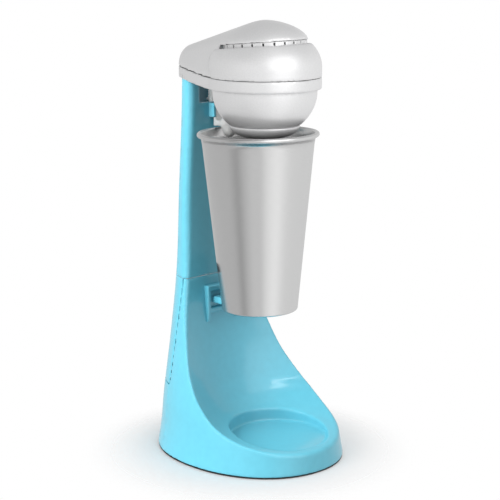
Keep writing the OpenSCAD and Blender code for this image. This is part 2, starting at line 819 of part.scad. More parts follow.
module supply_wires() {
  color([0.75, 0.15, 0.12]) for (s = [-1, 1]) {
    translate([s * wire_x, 68, 16]) rotate([-90, 0, 0]) cylinder(r = wire_r, h = 12);
    translate([s * wire_x, 68, 16]) sphere(r = wire_r);
    translate([s * wire_x, 68, 16]) cylinder(r = wire_r, h = 176);
    translate([s * wire_x, 68, 192]) sphere(r = wire_r);
    translate([s * wire_x, 62, 192]) rotate([-90, 0, 0]) cylinder(r = wire_r, h = 6);
    translate([s * wire_x, 62, 192]) sphere(r = wire_r);
    translate([s * wire_x, 62, 192]) cylinder(r = wire_r, h = 60);
  }
}
module wire_clips() {
  color(black) for (z = [90, 170]) difference() {
    box([-8, 65.6, z], [8, 70.4, z + 6]);
    for (s = [-1, 1]) translate([s * wire_x, 68, z - 1]) cylinder(r = wire_r, h = 8);
  }
}

// Mixing cup, hanging just below the lever's notch.
module mixing_cup() {
  foot_fillet = 2.2;
  top_r = rim_r - bead / 2 + cup_wall * 0.6;
  outer = concat(
    [for (i = [0:5]) let (a = -90 + 90 * i / 5) [cup_bottom_r - foot_fillet + foot_fillet * cos(a),
      foot_fillet + foot_fillet * sin(a)]],
    [[top_r, cup_h]]
  );
  inner = concat(
    [[top_r - cup_wall, cup_h]],
    [for (i = [5:-1:0]) let (a = -90 + 90 * i / 5)
      [cup_bottom_r - foot_fillet + (foot_fillet - cup_wall) * cos(a), foot_fillet
        + (foot_fillet - cup_wall) * sin(a)]]
  );
  color(steel) translate([0, -cup_fwd, rim_z]) rotate([-cup_lean, 0, 0]) translate([0, 0, -cup_h]) union() {
    rotate_extrude($fn = 96) polygon(concat([[0, 0]], outer, inner, [[0, cup_wall]]));
    rotate_extrude($fn = 96) translate([rim_r, cup_h]) circle(r = bead / 2, $fn = 24);
  }
}

base_shell();
base_rear_cover();
base_plate();
base_screws();
rubber_feet();
cup_rest();
cord_inlet_bush();
column_shell();
column_rear_cover();
rear_cover_screws();
column_screws();
lever_guide();
cup_lever();
lever_nub();
lever_spring();
micro_switch();
switch_plunger();
lower_housing();
upper_housing();
vent_ring();
top_cover();
housing_screws();
spindle_collar();
collar_screws();
spindle_bush();
spindle_seal();
motor_can();
motor_end_cap();
motor_magnets();
lower_bearing();
upper_bearing();
armature();
armature_windings();
commutator();
brush_holders();
carbon_brushes();
brush_springs();
motor_mount();
motor_grommets();
motor_screws();
motor_shaft();
cooling_fan();
shaft_coupling();
agitator_rod();
agitator_disc();
aerator_disc();
circuit_board();
board_parts();
board_screws();
speed_switch();
speed_rocker();
supply_wires();
wire_clips();
mixing_cup();
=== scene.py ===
"""Milkshake mixer: smooth shells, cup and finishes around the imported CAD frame.
Shapes are written in millimetres in the CAD frame (+Z up, front -Y) and scaled to metres."""
import json
import math

import bmesh
import bpy
import numpy as np
from mathutils import Matrix, Vector
from mathutils.bvhtree import BVHTree

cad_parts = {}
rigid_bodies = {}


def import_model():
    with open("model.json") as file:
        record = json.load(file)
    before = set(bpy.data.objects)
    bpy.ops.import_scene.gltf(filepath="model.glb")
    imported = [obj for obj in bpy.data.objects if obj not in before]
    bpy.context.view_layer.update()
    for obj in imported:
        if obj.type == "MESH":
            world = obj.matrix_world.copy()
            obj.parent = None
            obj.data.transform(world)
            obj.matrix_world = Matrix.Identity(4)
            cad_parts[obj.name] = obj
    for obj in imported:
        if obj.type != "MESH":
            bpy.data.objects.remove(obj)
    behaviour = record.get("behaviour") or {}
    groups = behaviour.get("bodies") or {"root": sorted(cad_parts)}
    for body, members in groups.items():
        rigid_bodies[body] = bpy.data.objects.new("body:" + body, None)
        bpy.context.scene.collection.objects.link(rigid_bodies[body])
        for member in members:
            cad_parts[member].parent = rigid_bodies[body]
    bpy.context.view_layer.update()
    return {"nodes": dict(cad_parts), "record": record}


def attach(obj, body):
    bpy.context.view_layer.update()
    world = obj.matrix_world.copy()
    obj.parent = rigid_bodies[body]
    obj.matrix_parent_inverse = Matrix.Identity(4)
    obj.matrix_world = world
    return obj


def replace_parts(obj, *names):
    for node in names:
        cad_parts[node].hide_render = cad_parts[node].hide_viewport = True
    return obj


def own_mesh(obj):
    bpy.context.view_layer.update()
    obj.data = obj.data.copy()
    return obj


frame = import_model()
MM = 0.001


# ---------------------------------------------------------------- camera and studio
def make_camera():
    data = bpy.data.cameras.new("camera")
    cam = bpy.data.objects.new("camera", data)
    bpy.context.scene.collection.objects.link(cam)
    data.lens, data.sensor_width = 107.9, 36.0
    data.clip_start, data.clip_end = 0.05, 20
    cam.location = (-0.8475, -0.9416, 0.4514)
    cam.rotation_mode = "QUATERNION"
    cam.rotation_quaternion = Vector((0.654, 0.7265, -0.2103)).to_track_quat("-Z", "Y")
    bpy.context.scene.camera = cam


def softbox(name, place, aim, size, watts, glossy=True, only=None):
    """Area lamp in metres and watts, aimed at a point; only limits it to the pieces of a collection."""
    data = bpy.data.lights.new(name, "AREA")
    data.shape, data.size, data.size_y = "RECTANGLE", size[0], size[1]
    data.energy = watts
    lamp = bpy.data.objects.new(name, data)
    bpy.context.scene.collection.objects.link(lamp)
    lamp.location = place
    lamp.rotation_mode = "QUATERNION"
    lamp.rotation_quaternion = (Vector(aim) - Vector(place)).to_track_quat("-Z", "Y")
    lamp.visible_glossy = glossy
    if only:
        lamp.light_linking.receiver_collection = only
    return lamp


# Brightness of the studio as (place, level) rows: by compass direction, from -X round through -Y,
# +X and +Y, and by height, from straight down to straight up.
ROUND_LEVELS = [(0.0, 0.25), (0.02, 0.55), (0.09, 0.80), (0.15, 0.70), (0.175, 1.0), (0.25, 1.2),
                (0.33, 0.9), (0.5, 0.85), (0.75, 0.65), (0.87, 0.62), (0.955, 0.62), (1.0, 0.36)]
HEIGHT_LEVELS = [(0.0, 0.9), (0.45, 1.0), (0.6, 1.0), (0.8, 0.7), (1.0, 0.6)]


def make_world():
    world = bpy.data.worlds.new("studio")
    bpy.context.scene.world = world
    world.use_nodes = True
    nt = world.node_tree
    nt.nodes.clear()
    out = nt.nodes.new("ShaderNodeOutputWorld")
    mix = nt.nodes.new("ShaderNodeMixShader")
    path = nt.nodes.new("ShaderNodeLightPath")
    seen = nt.nodes.new("ShaderNodeBackground")
    seen.inputs["Color"].default_value = (1, 1, 1, 1)
    seen.inputs["Strength"].default_value = 1.0
    room = nt.nodes.new("ShaderNodeBackground")
    room.inputs["Strength"].default_value = 1.0
    coord = nt.nodes.new("ShaderNodeTexCoord")
    split = nt.nodes.new("ShaderNodeSeparateXYZ")
    nt.links.new(coord.outputs["Generated"], split.inputs[0])
    turn = nt.nodes.new("ShaderNodeMath")
    turn.operation = "ARCTAN2"
    nt.links.new(split.outputs["Y"], turn.inputs[0])
    nt.links.new(split.outputs["X"], turn.inputs[1])
    glow = nt.nodes.new("ShaderNodeMath")
    glow.operation = "MULTIPLY"
    for k, (source, gain, offset, levels) in enumerate((
            (turn.outputs[0], 0.5 / math.pi, 0.5, ROUND_LEVELS),
            (split.outputs["Z"], 0.5, 0.5, HEIGHT_LEVELS))):
        place = nt.nodes.new("ShaderNodeMath")
        place.operation = "MULTIPLY_ADD"
        place.inputs[1].default_value, place.inputs[2].default_value = gain, offset
        ramp = nt.nodes.new("ShaderNodeValToRGB")
        while len(ramp.color_ramp.elements) < len(levels):
            ramp.color_ramp.elements.new(0.5)
        for e, (at, level) in zip(ramp.color_ramp.elements, levels):
            e.position, e.color = at, (level, level, level, 1)
        nt.links.new(source, place.inputs[0])
        nt.links.new(place.outputs[0], ramp.inputs[0])
        nt.links.new(ramp.outputs[0], glow.inputs[k])
    nt.links.new(glow.outputs[0], room.inputs["Color"])
    nt.links.new(path.outputs["Is Camera Ray"], mix.inputs[0])
    nt.links.new(room.outputs[0], mix.inputs[1])
    nt.links.new(seen.outputs[0], mix.inputs[2])
    nt.links.new(mix.outputs[0], out.inputs["Surface"])


# ---------------------------------------------------------------- materials
def material(name, color, rough, metal=0.0, coat=0.0, coat_rough=0.1, scale=(400, 400, 400), vary=0.04,
             rough_vary=0.05, bump=0.02, detail=3.0, aniso=0.0, spec=0.5, streak=None):
    """Noise-varied finish; streak="round" lays the grain as brush lines round the Z axis."""
    mat = bpy.data.materials.new(name)
    mat.use_nodes = True
    nt = mat.node_tree
    b = nt.nodes["Principled BSDF"]
    b.inputs["Metallic"].default_value = metal
    b.inputs["Coat Weight"].default_value = coat
    b.inputs["Coat Roughness"].default_value = coat_rough
    b.inputs["Specular IOR Level"].default_value = spec
    b.inputs["Anisotropic"].default_value = aniso
    coord = nt.nodes.new("ShaderNodeTexCoord")
    place = nt.nodes.new("ShaderNodeMapping")
    place.inputs["Scale"].default_value = scale
    nt.links.new(coord.outputs["Object"], place.inputs[0])
    if streak == "round":
        # Noise of angle and height, stretched along the angle.
        split = nt.nodes.new("ShaderNodeSeparateXYZ")
        angle = nt.nodes.new("ShaderNodeMath")
        angle.operation = "ARCTAN2"
        join = nt.nodes.new("ShaderNodeCombineXYZ")
        nt.links.new(coord.outputs["Object"], split.inputs[0])
        nt.links.new(split.outputs["Y"], angle.inputs[0])
        nt.links.new(split.outputs["X"], angle.inputs[1])
        nt.links.new(angle.outputs[0], join.inputs["X"])
        nt.links.new(split.outputs["Z"], join.inputs["Z"])
        nt.links.new(join.outputs[0], place.inputs[0])
        tangent = nt.nodes.new("ShaderNodeTangent")
        tangent.direction_type, tangent.axis = "RADIAL", "Z"
        nt.links.new(tangent.outputs[0], b.inputs["Tangent"])
    noise = nt.nodes.new("ShaderNodeTexNoise")
    noise.inputs["Scale"].default_value = 1.0
    noise.inputs["Detail"].default_value = detail
    nt.links.new(place.outputs[0], noise.inputs["Vector"])
    ramp = nt.nodes.new("ShaderNodeValToRGB")
    low = [max(0.0, c * (1 - vary)) for c in color]
    high = [min(1.0, c * (1 + vary)) for c in color]
    ramp.color_ramp.elements[0].position, ramp.color_ramp.elements[1].position = 0.3, 0.7
    ramp.color_ramp.elements[0].color = (*low, 1)
    ramp.color_ramp.elements[1].color = (*high, 1)
    nt.links.new(noise.outputs["Fac"], ramp.inputs[0])
    nt.links.new(ramp.outputs[0], b.inputs["Base Color"])
    spread = nt.nodes.new("ShaderNodeMapRange")
    spread.inputs["To Min"].default_value = max(0.02, rough - rough_vary)
    spread.inputs["To Max"].default_value = rough + rough_vary
    nt.links.new(noise.outputs["Fac"], spread.inputs[0])
    nt.links.new(spread.outputs[0], b.inputs["Roughness"])
    if bump:
        bmp = nt.nodes.new("ShaderNodeBump")
        bmp.inputs["Strength"].default_value = bump
        bmp.inputs["Distance"].default_value = 0.0002
        nt.links.new(noise.outputs["Fac"], bmp.inputs["Height"])
        nt.links.new(bmp.outputs[0], b.inputs["Normal"])
    return mat


AQUA = material("aqua_gloss", (0.085, 0.355, 0.455), 0.32, coat=0.5, coat_rough=0.10, spec=0.4,
                scale=(160, 160, 160), vary=0.025, rough_vary=0.04, bump=0.03)
SILVER = material("silver_gloss", (0.76, 0.76, 0.765), 0.40, metal=0.5, coat=0.35, coat_rough=0.2,
                  scale=(900, 900, 900), vary=0.03, rough_vary=0.05, bump=0.02)
CUP = material("brushed_cup", (0.68, 0.68, 0.68), 0.22, metal=1.0, scale=(7, 1, 5200), vary=0.05,
               rough_vary=0.07,
               bump=0.05, detail=4, aniso=0.75, streak="round")
WHITE = material("white_plastic", (0.90, 0.90, 0.885), 0.32, scale=(500, 500, 500), vary=0.02,
                 bump=0.03)
BLACK = material("black_plastic", (0.020, 0.020, 0.022), 0.48, scale=(1400, 1400, 1400), vary=0.25,
                 rough_vary=0.1, bump=0.25)
RUBBER = material("rubber", (0.022, 0.022, 0.022), 0.75, scale=(900, 900, 900), vary=0.3,
                  rough_vary=0.12, bump=0.3)
ZINC = material("zinc_steel", (0.52, 0.53, 0.55), 0.35, metal=1.0, scale=(700, 700, 700), vary=0.12,
                rough_vary=0.12, bump=0.06)
STEEL = material("bright_steel", (0.70, 0.70, 0.71), 0.16, metal=1.0, scale=(300, 300, 3000),
                 vary=0.04, rough_vary=0.05, bump=0.04)
BRONZE = material("bronze", (0.52, 0.33, 0.13), 0.38, metal=1.0, scale=(1500, 1500, 1500), vary=0.15,
                  rough_vary=0.1, bump=0.15)
COPPER = material("copper", (0.64, 0.26, 0.11), 0.30, metal=1.0, scale=(60, 60, 4000), vary=0.2,
                  rough_vary=0.08, bump=0.3)
FERRITE = material("ferrite", (0.060, 0.060, 0.066), 0.62, scale=(1200, 1200, 1200), vary=0.3, bump=0.3)
CARBON = material("carbon", (0.030, 0.030, 0.030), 0.55, scale=(1600, 1600, 1600), vary=0.3, bump=0.2)
BOARD = material("board", (0.02, 0.16, 0.06), 0.35, coat=0.3, scale=(500, 500, 500), vary=0.2, bump=0.1)
WIRE = material("wire_jacket", (0.42, 0.02, 0.015), 0.40, scale=(700, 700, 700), vary=0.1, bump=0.1)
SLOT_LOOK = {
    "aqua_plastic": AQUA, "silver_plastic": SILVER, "brushed_cup": CUP, "white_plastic": WHITE,
    "black_plastic": BLACK, "rubber": RUBBER, "zinc_steel": ZINC, "bright_steel": STEEL,
    "bronze": BRONZE, "copper": COPPER, "ferrite": FERRITE, "carbon": CARBON, "board": BOARD,
    "wire_jacket": WIRE}


# ---------------------------------------------------------------- fields: distance in mm, negative inside
class Curve:
    """Smooth curve through rows of (place, value), straight beyond its ends."""

    def __init__(self, rows):
        self.x, self.y = np.array(rows, float).T
        h = np.diff(self.x)
        r = np.diff(self.y) / h
        inner = (r[:-1] * h[1:] + r[1:] * h[:-1]) / (h[:-1] + h[1:])
        self.m, self.h = np.concatenate([r[:1], inner, r[-1:]]), h

    def __call__(self, at):
        at = np.asarray(at, float)
        q = np.clip(at, self.x[0], self.x[-1])
        i = np.clip(np.searchsorted(self.x, q, "right") - 1, 0, len(self.h) - 1)
        h = self.h[i]
        u = (q - self.x[i]) / h
        v = ((2 * u**3 - 3 * u**2 + 1) * self.y[i] + (u**3 - 2 * u**2 + u) * h * self.m[i]
             + (3 * u**2 - 2 * u**3) * self.y[i + 1] + (u**3 - u**2) * h * self.m[i + 1])
        return v + np.where(at < self.x[0], self.m[0], self.m[-1]) * (at - q)


def grid(lo, hi, h):
    """Sparse X, Y, Z sample arrays over a box, with a margin all round."""
    edge = 2.5 * h
    rows = [np.arange(a - edge, b + edge, h) for a, b in zip(lo, hi)]
    return np.meshgrid(*rows, indexing="ij", sparse=True)


def true(f, h):
    """f divided by its slope, so that it reads as a distance near its zero."""
    gx, gy, gz = np.gradient(f, h)
    return f / np.maximum(np.sqrt(gx**2 + gy**2 + gz**2), 1e-4)


def both(a, b, r=0.0):
    """Inside a and b, with the edge between them rounded to radius r."""
    if np.isscalar(r) and r == 0:
        return np.maximum(a, b)
    return np.minimum(-r, np.maximum(a, b)) + np.sqrt(np.maximum(a + r, 0) ** 2 + np.maximum(b + r, 0) ** 2)


def either(a, b, r=0.0):
    """Inside a or b, with the corner between them filled to radius r."""
    return -both(-a, -b, r)


def cuboid(X, Y, Z, lo, hi, r=0.0):
    """Distance to a box from corner lo to corner hi, with its edges rounded to r."""
    q = [abs(c - (a + b) / 2) - ((b - a) / 2 - r) for c, a, b in zip((X, Y, Z), lo, hi)]
    q = np.broadcast_arrays(*q)
    far = np.sqrt(sum(np.maximum(v, 0) ** 2 for v in q))
    return far + np.minimum(np.maximum(np.maximum(q[0], q[1]), q[2]), 0) - r


def in_polygon(X, Y, points):
    """Signed distance in the plane to a closed polygon."""
    X, Y = np.broadcast_arrays(X, Y)
    best = np.full(X.shape, 1e9)
    inside = np.zeros(X.shape, bool)
    for (ax, ay), (bx, by) in zip(points, np.roll(points, -1, axis=0)):
        ex, ey = bx - ax, by - ay
        wx, wy = X - ax, Y - ay
        t = np.clip((wx * ex + wy * ey) / max(ex * ex + ey * ey, 1e-12), 0, 1)
        best = np.minimum(best, (wx - ex * t) ** 2 + (wy - ey * t) ** 2)
        if ay != by:
            cross = ((ay > Y) != (by > Y)) & (X < ex * (Y - ay) / (by - ay) + ax)
            inside ^= cross
    return np.where(inside, -1, 1) * np.sqrt(best)


# ---------------------------------------------------------------- meshes
def add(name, verts, faces, mat, body, sharp=50):
    """Mesh object in metres from millimetre verts, riding on a body."""
    mesh = bpy.data.meshes.new(name)
    mesh.vertices.add(len(verts))
    mesh.vertices.foreach_set("co", (np.asarray(verts, np.float64) * MM).astype(np.float32).ravel())
    sizes = np.array([len(f) for f in faces])
    flat = np.concatenate([np.asarray(f) for f in faces])
    mesh.loops.add(len(flat))
    mesh.loops.foreach_set("vertex_index", flat.astype(np.int32))
    mesh.polygons.add(len(sizes))
    mesh.polygons.foreach_set("loop_start", np.concatenate([[0], np.cumsum(sizes)[:-1]]).astype(np.int32))
    mesh.polygons.foreach_set("use_smooth", np.ones(len(sizes), bool))
    mesh.update(calc_edges=True)
    mesh.validate()
    if sharp:
        mesh.set_sharp_from_angle(angle=math.radians(sharp))
    mesh.materials.append(mat)
    obj = bpy.data.objects.new(name, mesh)
    bpy.context.scene.collection.objects.link(obj)
    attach(obj, body)
    return obj


def skin(name, f, axes, h, mat, body, snap=(), sharp=50):
    """Mesh of the surface where the sampled field is zero (surface nets)."""
    f = np.ascontiguousarray(f)
    n = f.shape
    solid = f < 0
    part = lambda a, c: a[tuple(slice(o, s - 1 + o) for o, s in zip(c, n))]
    corners = [(i, j, k) for i in (0, 1) for j in (0, 1) for k in (0, 1)]
    count = sum(part(solid, c).astype(np.int8) for c in corners)
    active = (count > 0) & (count < 8)
    cell = np.argwhere(active)
    number = np.full(active.shape, -1, np.int64)
    number[active] = np.arange(len(cell))
    total, hits = np.zeros((len(cell), 3)), np.zeros(len(cell))
    value = {c: part(f, c)[active] for c in corners}
    for c in corners:
        for axis in range(3):
            if c[axis]:
                continue
            d = tuple(1 if i == axis else v for i, v in enumerate(c))
            a, b = value[c], value[d]
            cross = (a < 0) != (b < 0)
            t = np.where(cross, a / np.where(a == b, 1, a - b), 0)
            step = np.array(c, float)[None] + t[:, None] * np.eye(3)[axis][None]
            total[cross] += step[cross]
            hits[cross] += 1
    lo = np.array([a.ravel()[0] for a in axes])
    verts = lo + h * (cell + total / hits[:, None])
    for axis, at in snap:
        near = abs(verts[:, axis] - at) < 0.55 * h
        verts[near, axis] = at
    quads = []
    for axis in range(3):
        u, v = (axis + 1) % 3, (axis + 2) % 3
        a = solid[tuple(slice(0, -1) if i == axis else slice(1, -1) for i in range(3))]
        b = solid[tuple(slice(1, None) if i == axis else slice(1, -1) for i in range(3))]
        at = np.argwhere(a != b)
        at[:, u] += 1
        at[:, v] += 1
        forward = a[a != b]
        ring = []
        for du, dv in ((1, 1), (0, 1), (0, 0), (1, 0)):
            p = at.copy()
            p[:, u] -= du
            p[:, v] -= dv
            ring.append(number[p[:, 0], p[:, 1], p[:, 2]])
        q = np.stack(ring, 1)
        q[~forward] = q[~forward][:, ::-1]
        quads.append(q)
    quads = np.concatenate(quads)
    quads = quads[(quads >= 0).all(1)]
    return add(name, verts, quads, mat, body, sharp)


def lathe(name, profile, centre, mat, body, steps=128, tilt=0.0, sharp=50):
    """Closed solid of revolution about a Z axis through centre. Points on the axis become poles."""
    verts, rows = [], []
    for r, z in profile:
        if r < 1e-6:
            rows.append([len(verts)])
            verts.append((0, 0, z))
        else:
            rows.append(list(range(len(verts), len(verts) + steps)))
            turns = (2 * math.pi * i / steps for i in range(steps))
            verts += [(r * math.cos(a), r * math.sin(a), z) for a in turns]
    faces = []
    closed = len(rows[0]) > 1
    pairs = list(zip(rows, rows[1:])) + ([(rows[-1], rows[0])] if closed else [])
    for lower, upper in pairs:
        for i in range(steps):
            j = (i + 1) % steps
            if len(lower) == 1:
                faces.append((lower[0], upper[j], upper[i]))
            elif len(upper) == 1:
                faces.append((lower[i], lower[j], upper[0]))
            else:
                faces.append((lower[i], lower[j], upper[j], upper[i]))
    turn = Matrix.Rotation(math.radians(tilt), 3, "X")
    verts = [tuple(turn @ Vector(v) + Vector(centre)) for v in verts]
    return add(name, verts, faces, mat, body, sharp)


# ---------------------------------------------------------------- base and column
POWER = 2.12
# Rows of (height, value). The plan of the body at each height is a superellipse of this power.
half_width = Curve([[1.5, 73], [22, 68.5], [42, 65.3], [97, 50.6], [152, 38.9], [230, 34], [300, 30.2],
                    [326, 29.6]])
widest_y = Curve([[1.5, 1.4], [22, 0.3], [42, 5.1], [97, 26.4], [152, 40], [230, 43], [300, 46],
                  [326, 46.5]])
back_y = Curve([[1.5, 88.3], [22, 87.5], [42, 85.8], [97, 80.3], [152, 76.3], [230, 73.9], [300, 70.5],
                [326, 69.5]])
front_y = Curve([[1.5, -88.3], [22, -85.5], [42, -84], [97, -78]])
# Front of the body at each height: where the scoop meets the sides, and along its middle.
rim_line = Curve([[18.4, -86.4], [24.3, -62], [33.2, -36], [48.7, -10], [70.3, 12], [99.6, 27],
                  [127.7, 36], [152, 39.5], [326, 43.5]])
mid_line = Curve([[18.4, -86.2], [21, -74], [24.5, -40], [27.6, -10], [31.5, 5], [38, 14.5], [50, 22.8],
                  [75, 31], [110, 37.5], [152, 41.3], [326, 44.6]])
WALL = 2.5
FOOT_Z = 1.5          # bottom edge of the base shell
SEAM_Z = 152.0        # between base and column
SEAM_GAP = 0.25       # half of it
COLUMN_TOP = 326
BASE_COVER_Y, BASE_COVER_Z = 43.65, 58.15
COVER_GAP = 1.0
RECESS_Y, RECESS_R, RECESS_Z = -36.8, 42.5, 19.4
INLET_Z, INLET_R = 16, 6.5


def outline(X, Y, Z, h):
    q, yc, yb, yf = half_width(Z), widest_y(Z), back_y(Z), front_y(np.minimum(Z, 97))
    side = np.where(Y > yc, yb - yc, yc - yf)
    g = ((abs(X) / q) ** POWER + (abs(Y - yc) / side) ** POWER) ** (1 / POWER) - 1
    return true(g * 40, h)


def scoop(X, Y, Z, h):
    q, yc, yb, yf = half_width(Z), widest_y(Z), back_y(Z), front_y(np.minimum(Z, 97))
    yr, ym = rim_line(Z), mid_line(Z)
    rim = np.clip(yr, yf + 0.4, None)
    a = np.where(rim < yc, (np.clip((yc - rim) / (yc - yf), 0, 1)) ** (POWER / 2),
                 (np.clip((rim - yc) / (yb - yc), 0, 1)) ** (POWER / 2))
    hw = np.maximum(q * np.maximum(1 - a**2, 1e-6) ** (1 / POWER), 16)
    face = ym - np.maximum(ym - yr, 0.1) * (abs(X) / hw) ** 2.3
    return true(face - Y, h)


def corner_radius(Z):
    return np.interp(Z, [0, 60, 100, 130, 200], [2.2, 2.0, 2.6, 4.5, 6.5])


def body_field(X, Y, Z, h, grow=0.0, r=None):
    r = corner_radius(Z) if r is None else r
    return both(outline(X, Y, Z, h) - grow, scoop(X, Y, Z, h) - grow, r)


def make_base():
    h = 1.3
    top = SEAM_Z - SEAM_GAP
    X, Y, Z = grid((-73, -88.3, FOOT_Z), (73, 88.3, 151.8), h)
    outer = body_field(X, Y, Z, h)
    outer = both(outer, FOOT_Z - Z + 0 * outer, 0.8)
    radial = np.sqrt(X**2 + (Y - RECESS_Y) ** 2)
    cut = both(radial - RECESS_R + 0 * Z, RECESS_Z - Z + 0 * radial, 1.6)
    outer = both(outer, -cut, 1.4)
    inner = body_field(X, Y, Z, h, -WALL, corner_radius(Z) - 1.5)
    inner = both(inner, -np.maximum(radial - RECESS_R - WALL, RECESS_Z - WALL - Z + 0 * radial), 1.0)
    shell = np.maximum(outer, -inner)
    shell = np.maximum(shell, Z - top)
    zone = both(BASE_COVER_Y - Y + 0 * shell, BASE_COVER_Z - Z + 0 * shell, 3.0)
    hole = np.sqrt(X**2 + (Z - INLET_Z) ** 2) - INLET_R
    front = np.maximum(shell, -zone)
    front = np.maximum(front, -np.maximum(hole + 0 * Y, 70 - Y + 0 * hole))
    piece = skin("base_front_shell", front, (X, Y, Z), h, AQUA, "stand", snap=((1, BASE_COVER_Y), (2, top)))
    cover = np.maximum(shell, zone + COVER_GAP)
    back = skin("base_back_cover", cover, (X, Y, Z), h, AQUA, "stand",
                snap=((2, top), (1, BASE_COVER_Y + COVER_GAP)))
    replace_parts(piece, "base_shell")
    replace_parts(back, "base_rear_cover")
    # Dark rubber ring in the gap between the shell and the floor: a painted shadow, a dark piece put where
    # there is only the shade of that gap.
    h = 0.65
    X, Y, Z = grid((-73, -88.3, 0.2), (73, 88.3, FOOT_Z), h)
    edge = body_field(X, Y, Z, h, -0.5)
    ring = np.maximum(np.maximum(edge, -3.0 - edge), np.maximum(0.4 - Z, Z - 1.35) + 0 * edge)
    skin("base_gasket", ring, (X, Y, Z), h, RUBBER, "stand")


def make_column():
    h = 1.2
    bottom, split, gap = SEAM_Z + SEAM_GAP, 56.85, 0.45
    X, Y, Z = grid((-40, 33, 152.2), (40, 78, COLUMN_TOP), h)
    outer = body_field(X, Y, Z, h)
    inner = body_field(X, Y, Z, h, -WALL, 4.0)
    shell = np.maximum(np.maximum(outer, -inner), np.maximum(bottom - Z, Z - COLUMN_TOP))
    front = np.maximum(shell, Y - split)
    slot = cuboid(X, Y, Z, (-18, 30, 304), (18, 50, 340), 1.0)
    front = np.maximum(front, -slot)
    ends = ((2, bottom), (2, COLUMN_TOP))
    piece = skin("column_front_shell", front, (X, Y, Z), h, AQUA, "stand", snap=((1, split), *ends))
    cover = np.maximum(shell, split + gap - Y)
    well = cuboid(X, Y, Z, (-8.2, 60, 263.5), (8.2, 90, 288.5), 0.4)
    cover = np.maximum(cover, -well)
    for s in (-1, 1):
        for z in (180, 296):
            hole = np.maximum(np.sqrt((X - s * 17) ** 2 + (Z - z) ** 2) - 3.2, 60 - Y)
            cover = np.maximum(cover, -hole)
    back = skin("column_back_cover", cover, (X, Y, Z), h, AQUA, "stand", snap=((1, split + gap), *ends))
    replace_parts(piece, "column_shell")
    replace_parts(back, "column_rear_cover")


# ---------------------------------------------------------------- head
SPINDLE_Y = -18.7
BALL_R = 47.7
SPLIT_Z, BAND_Z = 330.0, 320.0
TILT = math.radians(5.5)
VENT_Z = 358.3
DOME_R, DOME_H = 36.0, 18.5


def neck_outline():
    """Plan of the neck, from its join with the ball round its back end."""
    half = np.array([[42.5, -2], [40.5, 12], [36.5, 30], [31, 50], [25, 64], [15, 72], [0, 74.5]])
    full = np.concatenate([half, half[-2::-1] * [-1, 1]])
    t = np.concatenate([[0], np.cumsum(np.linalg.norm(np.diff(full, axis=0), axis=1))])
    s = np.linspace(0, t[-1], 90)
    return np.stack([Curve(np.stack([t, full[:, 0]], 1))(s), Curve(np.stack([t, full[:, 1]], 1))(s)], 1)


NECK = neck_outline()


def slope(Y):
    """Rise of the head's split line and band towards the back."""
    return 0.09 * np.maximum(0, Y - 6)


def vent_z(Y, Z):
    """Height above the tilted plane of the vents."""
    return math.sin(TILT) * (Y - SPINDLE_Y) + math.cos(TILT) * (Z - VENT_Z)


def from_vent(p):
    """A point given on the vents' tilted plane, in the CAD frame."""
    x, y, z = p
    c, s = math.cos(TILT), math.sin(TILT)
    return (x, SPINDLE_Y + c * y + s * z, VENT_Z - s * y + c * z)


def dome_at(u):
    return DOME_R * max(0.0, 1 - u**1.7) ** 0.62


def neck_field(X, Y, Z):
    """Distance to the hull of the dome, the rounded end of the neck and the neck's foot."""
    bm = bmesh.new()
    end_r = 16
    rows = [0.5 - 0.5 * math.cos(math.pi * i / 30) for i in range(31)]
    for u in rows:
        r = dome_at(u)
        for i in range(120 if r > 1e-3 else 1):
            a = 2 * math.pi * i / 120
            bm.verts.new(from_vent((r * math.cos(a), r * math.sin(a), DOME_H * u)))
    for i in range(120):
        a = 2 * math.pi * i / 120
        bm.verts.new(from_vent((DOME_R * math.cos(a), DOME_R * math.sin(a), -9)))
    for s in (-1, 1):
        for j in range(1, 20):
            b = math.pi * j / 20
            for i in range(40):
                a = 2 * math.pi * i / 40
                bm.verts.new((s * 10 + end_r * math.sin(b) * math.cos(a),
                              56.6 + end_r * math.sin(b) * math.sin(a), 338 + end_r * math.cos(b)))
    for x, y in NECK:
        for z in (330.2, 332.0):
            bm.verts.new((x, y, z + slope(y)))
    bmesh.ops.convex_hull(bm, input=bm.verts)
    loose = [v for v in bm.verts if not v.link_faces]
    bmesh.ops.delete(bm, geom=loose, context="VERTS")
    bmesh.ops.recalc_face_normals(bm, faces=bm.faces)
    tree = BVHTree.FromBMesh(bm)
    bm.free()
    shape = np.broadcast(X, Y, Z).shape
    out = np.empty(shape)
    xs, ys, zs = X.ravel(), Y.ravel(), Z.ravel()
    find = tree.find_nearest
    for i, x in enumerate(xs):
        for j, y in enumerate(ys):
            for k, z in enumerate(zs):
                p = Vector((x, y, z))
                at, normal, _, d = find(p)
                out[i, j, k] = d if (p - at).dot(normal) > 0 else -d
    return out


